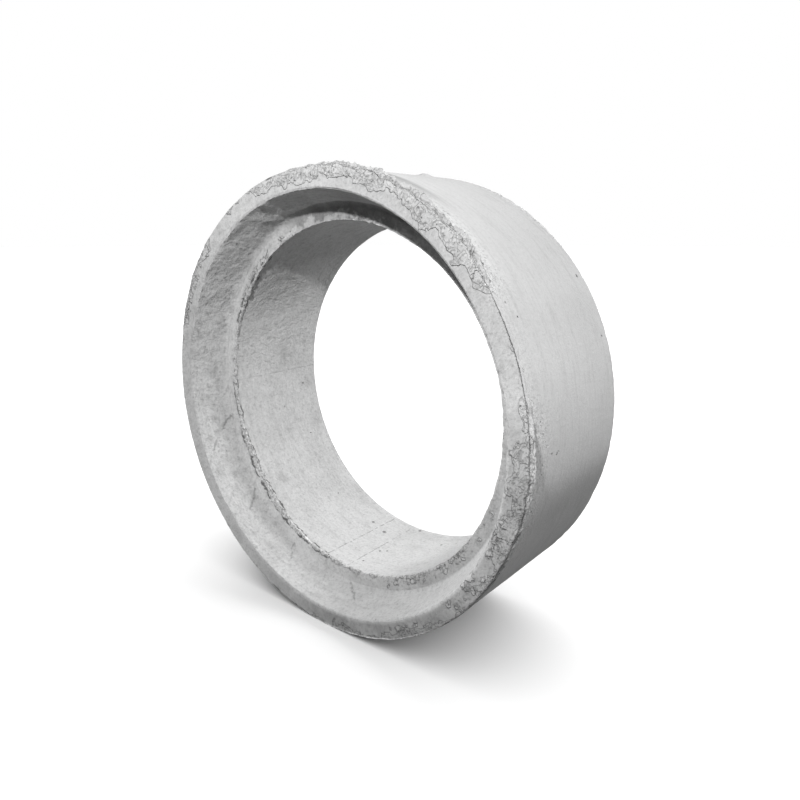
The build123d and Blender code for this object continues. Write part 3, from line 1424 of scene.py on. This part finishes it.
    def tint(self, s: NodeSketch, p: SurfacePatterns, mark: MarkSockets) -> bpy.types.NodeSocket:
        """The colour: clean concrete, made paler or darker by each pattern in turn.

        Args:
            s: the sketch.
            p: the patterns.
            mark: the marks that the relief left.

        Returns:
            The colour.
        """
        coarse, flash = mark[Mark.COARSE], mark[Mark.FLASH]
        colour = s.node("RGB").outputs[0]
        colour.default_value = (*self.colour, 1.0)
        for mask, factor in (
            # Painted light and shade on each face round the ring.
            (1.0, s.times(mark[Mark.PAINTED_LIGHT_AND_TONE], 2.0)),
            (s.times(s.step(p.clouds, 0.42, 0.75), p.skin), 0.90),
            (s.times(s.step(p.patches, 0.45, 0.80), coarse), 0.80),
            (s.times(s.step(p.mottle, 0.46, 0.74), coarse), 0.74),
            (s.step(p.streaks, 0.45, 0.80), 0.88),
            (s.times(s.step(p.grain, 0.46, 0.78), p.skin), 0.74),
            (s.step(p.grain, 0.46, 0.20), 1.08),
            # Darker towards the bottom of the end face, and the painted shadow on the seat at the top.
            (s.times(mark[Mark.SHADOW_AND_DARKENING], s.step(p.patches, 0.20, 0.55, 0.65, 1.0)), 0.52),
            (s.times(p.stain, s.step(p.patches, 0.35, 0.6)), 0.78),
            (p.rough_skin, 1.07),
            (s.times(flash, s.step(p.mottle, 0.44, 0.56)), 1.12),
            (s.times(p.rough_skin, s.step(p.grain, 0.50, 0.70)), 0.62),
            (p.bubbles["Blob"], 1.16),
            (p.bubbles["Ring"], 0.62),
            # Painted shade along the mortar's edge and round its flakes.
            (p.crust["Line"], 0.63),
            # Painted shade in creases.
            (p.crease, 0.28),
            # Painted shade in the pits and bug holes.
            (p.pitted, 0.60),
            (p.holes, 0.60),
            (p.spots, 0.40),
            (p.seams, 0.50),
            (p.cracks, 0.55),
        ):
            colour = s.shade(colour, mask, factor)
        return colour

    def relief(self, s: NodeSketch, p: SurfacePatterns, mark: MarkSockets) -> bpy.types.NodeSocket:
        """The height for the bump: each pattern, as high or as deep as it is in metres.

        Args:
            s: the sketch.
            p: the patterns.
            mark: the marks that the relief left.

        Returns:
            The height.
        """
        coarse = mark[Mark.COARSE]
        height = s.times(s.times(p.grain, p.skin), 0.0014)
        for part, depth in (
            (p.fine, 0.0004),
            (s.times(p.patches, coarse), 0.0056),
            (s.times(p.mottle, coarse), 0.0074),
            (p.bubbles["Blob"], 0.0022),
            (p.bubbles["Ring"], -0.0010),
            (p.crust["Height"], 0.0035),
            (p.crust["Inside"], 0.0010),
            (p.crust["Line"], -0.0014),
            (p.crease, -0.0022),
            (s.times(p.grain, p.rough_skin), 0.0030),
            (p.pitted, -0.0016),
            (p.holes, -0.0010),
            (p.spots, -0.0025),
            (p.seams, -0.0008),
            (p.cracks, -0.0010),
            (s.times(p.shingle, mark[Mark.RIPPLE]), 0.0110),
        ):
            height = s.math("MULTIPLY_ADD", part, depth, height)
        return height

    def mark(self, s: NodeSketch, mark: Mark) -> bpy.types.NodeSocket:
        """Reads one of the marks that the relief left."""
        return s.node("Attribute", attribute_name=mark.value, attribute_type="GEOMETRY").outputs["Fac"]

    def round_axis(self, s: NodeSketch, place: bpy.types.NodeSocket) -> bpy.types.NodeSocket:
        """Places squeezed so that a pattern runs in streaks round the ring."""
        return s.vector("MULTIPLY", place, (0.12, 1.0, 0.12)).outputs[0]

    def lines(
        self,
        s: NodeSketch,
        effects: ConcreteEffects,
        place: bpy.types.NodeSocket,
        drawn: ThinLines,
    ) -> bpy.types.NodeSocket:
        """The mask of several thin lines.

        Args:
            s: the sketch.
            effects: the node groups.
            place: the surface's place.
            drawn: the lines.

        Returns:
            The mask.
        """
        mask: object = 0.0
        for first_angle, first_depth, last_angle, last_depth in drawn.runs:
            line = s.group(
                effects.line,
                Vector=place,
                Start=self.sizes.point(first_angle, first_depth),
                End=self.sizes.point(last_angle, last_depth),
                Width=drawn.width,
                Waver=drawn.waver,
                Gaps=drawn.gaps,
            )
            mask = s.math("MAXIMUM", mask, line.outputs[0])
        return mask

    def spots(
        self, s: NodeSketch, effects: ConcreteEffects, place: bpy.types.NodeSocket
    ) -> bpy.types.NodeSocket:
        """The mask of the larger bug holes."""
        mask: object = 0.0
        inner = [(self.sizes.point(angle, depth), radius) for angle, depth, radius in self.holes]
        outer = [
            (self.sizes.point(angle, depth, self.sizes.outer_radius), radius)
            for angle, depth, radius in self.outer_holes
        ]
        for centre, radius in inner + outer:
            spot = s.group(effects.spot, Vector=place, Centre=centre, Radius=radius)
            mask = s.math("MAXIMUM", mask, spot.outputs[0])
        return mask


def light_only(lamp: bpy.types.Object, piece: bpy.types.Object) -> None:
    """Lets a lamp light one piece and nothing else."""
    lit = bpy.data.collections.new(f"lit_by_{lamp.name}")
    lit.objects.link(piece)
    lamp.light_linking.receiver_collection = lit


@dataclass(frozen=True)
class Softlight:
    """One studio lamp that lights only one piece.

    Args:
        name: its name.
        place: where it hangs.
        aim: where it points.
        width: width of its disk.
        power: its power in watts.
    """

    name: str
    place: tuple[float, float, float]
    aim: tuple[float, float, float]
    width: float
    power: float

    def hang(self, lit: bpy.types.Object) -> bpy.types.Object:
        """Hangs the lamp.

        Args:
            lit: the only piece that it lights.

        Returns:
            The lamp.
        """
        deselect_all()
        towards = Vector(self.aim) - Vector(self.place)
        bpy.ops.object.light_add(
            type="AREA", location=self.place, rotation=towards.to_track_quat("-Z", "Y").to_euler()
        )
        lamp = bpy.context.object
        lamp.name = self.name
        lamp.data.shape = "DISK"
        lamp.data.size = self.width
        lamp.data.energy = self.power
        light_only(lamp, lit)
        return lamp


@dataclass
class Studio:
    """A pale floor under a soft sky, with a small key lamp and a wide one behind the ring.

    Args:
        ring: the ring.
        sky: strength of the sky above the horizon.
        ground_shade: what the floor gives back to the ring, as a share.
        key: the small lamp, front right.
        rim: the wide lamp, back right.
        floor_sun: strength of the overhead light that falls on the floor alone.
        floor_soft: how wide that light is, in degrees.
        floor_from: where that light comes from, as a direction.
        floor_glow: what the camera sees of the floor besides its light.
        floor_colour: how pale the floor is.
        floor_radius: how far the floor reaches.
        floor: the floor's object.
    """

    ring: bpy.types.Object
    sky: float = 0.28
    ground_shade: float = 0.12
    key: Softlight = Softlight("key_lamp", (0.743, -1.45, 1.589), (0, 0, 0.5), 0.08, 25.0)
    rim: Softlight = Softlight("rim_lamp", (2.61, 2.61, 3.08), (0, 0, 0.5), 2.3, 150.0)
    floor_sun: float = 4.0
    floor_soft: float = 110.0
    floor_from: tuple[float, float, float] = (0.18, 0.14, 1.0)
    floor_glow: float = 0.03
    floor_colour: float = 0.9
    floor_radius: float = 40.0
    floor: bpy.types.Object = field(init=False)

    def build(self) -> None:
        """Adds the floor, the sky and the lamps."""
        self.lay_floor()
        self.light_sky()
        self.key.hang(self.ring)
        self.rim.hang(self.ring)
        self.light_floor()

    def lay_floor(self) -> None:
        """Lays the pale floor, which lights the ring as if it were darker."""
        deselect_all()
        bpy.ops.mesh.primitive_circle_add(vertices=96, radius=self.floor_radius, fill_type="NGON")
        self.floor = bpy.context.object
        self.floor.name = "studio_floor"
        material = bpy.data.materials.new("studio_floor")
        s = blank_sketch(material)
        glow = s.node("Emission")
        s.feed(glow.inputs["Strength"], self.floor_glow)
        seen = s.node("AddShader")
        s.feed(seen.inputs[0], self.matt(s, self.floor_colour))
        s.feed(seen.inputs[1], glow.outputs[0])
        felt = self.matt(s, self.ground_shade)
        s.feed(s.node("OutputMaterial").inputs["Surface"], self.seen_or_felt(s, seen.outputs[0], felt))
        self.floor.data.materials.append(material)

    def matt(self, s: NodeSketch, shade: float) -> bpy.types.NodeSocket:
        """A matt grey surface."""
        surface = s.node("BsdfDiffuse")
        s.feed(surface.inputs["Color"], (shade, shade, shade, 1.0))
        return surface.outputs[0]

    def seen_or_felt(
        self, s: NodeSketch, seen: bpy.types.NodeSocket, felt: bpy.types.NodeSocket
    ) -> bpy.types.NodeSocket:
        """Chooses between two shaders by the kind of ray.

        Args:
            s: the sketch.
            seen: what the camera's rays find, and rays that are mirrored or pass through.
            felt: what all other rays find, which light the ring.

        Returns:
            The chosen shader.
        """
        path = s.node("LightPath").outputs
        direct = s.math("MAXIMUM", path["Is Camera Ray"], path["Is Glossy Ray"])
        choose = s.node("MixShader")
        s.feed(choose.inputs["Fac"], s.math("MAXIMUM", direct, path["Is Transmission Ray"]))
        s.feed(choose.inputs[1], felt)
        s.feed(choose.inputs[2], seen)
        return choose.outputs[0]

    def light_sky(self) -> None:
        """Lights the upper half of the world, and shows it white."""
        world = bpy.data.worlds.new("studio_sky")
        bpy.context.scene.world = world
        s = blank_sketch(world)
        parts = s.node("SeparateXYZ")
        s.feed(parts.inputs[0], s.node("TexCoord").outputs["Generated"])
        above = s.math("GREATER_THAN", parts.outputs["Z"], 0.0)
        white, soft = (self.white_sky(s, strength) for strength in (1.0, s.times(above, self.sky)))
        s.feed(s.node("OutputWorld").inputs["Surface"], self.seen_or_felt(s, white, soft))

    def white_sky(self, s: NodeSketch, strength: object) -> bpy.types.NodeSocket:
        """A white sky of a strength."""
        background = s.node("Background")
        s.feed(background.inputs["Color"], (1.0, 1.0, 1.0, 1.0))
        s.feed(background.inputs["Strength"], strength)
        return background.outputs[0]

    def light_floor(self) -> None:
        """Adds the overhead light that whitens the floor and drops the ring's soft shadow on it."""
        deselect_all()
        towards = Vector(self.floor_from).to_track_quat("Z", "Y").to_euler()
        bpy.ops.object.light_add(type="SUN", location=(0, 0, 4), rotation=towards)
        sun = bpy.context.object
        sun.name = "floor_light"
        sun.data.energy = self.floor_sun
        sun.data.angle = math.radians(self.floor_soft)
        light_only(sun, self.floor)


@dataclass(frozen=True)
class PhotoCamera:
    """The camera, at the photograph's place.

    Args:
        place: where it stands.
        turn: degrees that it looks left of +Y.
        dip: degrees that it looks down.
        lens: focal length in millimetres.
        picture_width: width of the picture in millimetres.
        nearest: what lies nearer isn't seen.
        farthest: what lies farther isn't seen.
    """

    place: tuple[float, float, float] = (1.00475, -1.1420, 0.8773)
    turn: float = 39.21
    dip: float = 14.13
    lens: float = 30.19
    picture_width: float = 36.0
    nearest: float = 0.05
    farthest: float = 100.0

    def build(self) -> bpy.types.Object:
        """Adds the camera and makes it the scene's own."""
        deselect_all()
        bpy.ops.object.camera_add(
            location=self.place, rotation=(math.radians(90 - self.dip), 0, math.radians(self.turn))
        )
        camera = bpy.context.object
        camera.name = "photo_camera"
        camera.data.sensor_width = self.picture_width
        camera.data.lens = self.lens
        camera.data.clip_start, camera.data.clip_end = self.nearest, self.farthest
        bpy.context.scene.camera = camera
        return camera


def main() -> None:
    """Builds the ring, the studio and the camera."""
    bpy.context.scene.view_settings.view_transform = "Standard"
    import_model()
    sizes = RingSizes.from_frame("riser_ring")
    ring = CastRing(sizes).build()
    ring.data.materials.append(ConcreteFinish(sizes).material(ConcreteEffects()))
    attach(ring, "root")
    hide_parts("riser_ring")
    log.info("%s: %d faces", ring.name, len(ring.data.polygons))
    Studio(ring).build()
    PhotoCamera().build()


if __name__ == "__main__":
    main()
